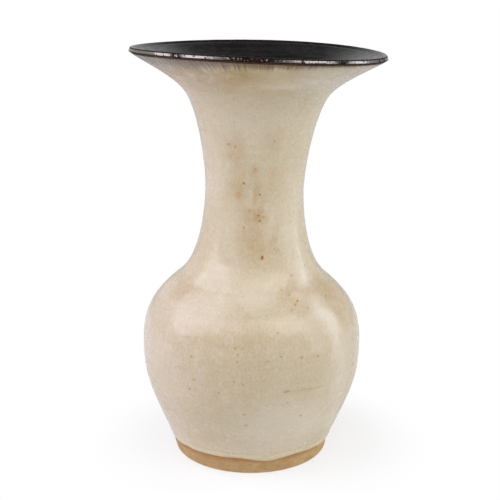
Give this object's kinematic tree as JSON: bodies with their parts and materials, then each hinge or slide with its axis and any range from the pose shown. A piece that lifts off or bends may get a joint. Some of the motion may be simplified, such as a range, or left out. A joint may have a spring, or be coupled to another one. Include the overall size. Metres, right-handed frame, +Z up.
{
  "type": "pottery vase",
  "caption": "Hand-thrown stoneware vase with a round body, tall waisted neck and wide flared mouth, cream glaze outside, dark lining and a bare clay foot ring.",
  "frame": {"origin": "on the surface the vase stands on, under the middle of its bounding box; the foot's own axis stands 5.1 mm to -X of it because the neck leans to +X", "axes": "+Z up through the mouth, -Y towards the viewer of the picture, +X to the viewer's right"},
  "size_m": [0.1708, 0.171, 0.2825],
  "materials": {
    "bare_clay": "bare fired stoneware, matt, turned",
    "joint_slip": "fired slip, matt",
    "cream_glaze": "satin cream glaze with iron specks",
    "dark_glaze": "satin charcoal glaze",
    "rim_glaze": "glossy pitted bronze-black glaze"
  },
  "bodies": {
    "root": {"foot_ring": "bare_clay", "foot_joint_slip": "joint_slip", "lower_bowl": "bare_clay", "belly_joint_slip": "joint_slip", "shoulder": "bare_clay", "neck_joint_slip": "joint_slip", "neck": "bare_clay", "mouth_joint_slip": "joint_slip", "flared_mouth": "bare_clay", "cream_glaze": "cream_glaze", "dark_glaze_lining": "dark_glaze", "rim_glaze_band": "rim_glaze"}
  },
  "joints": []
}
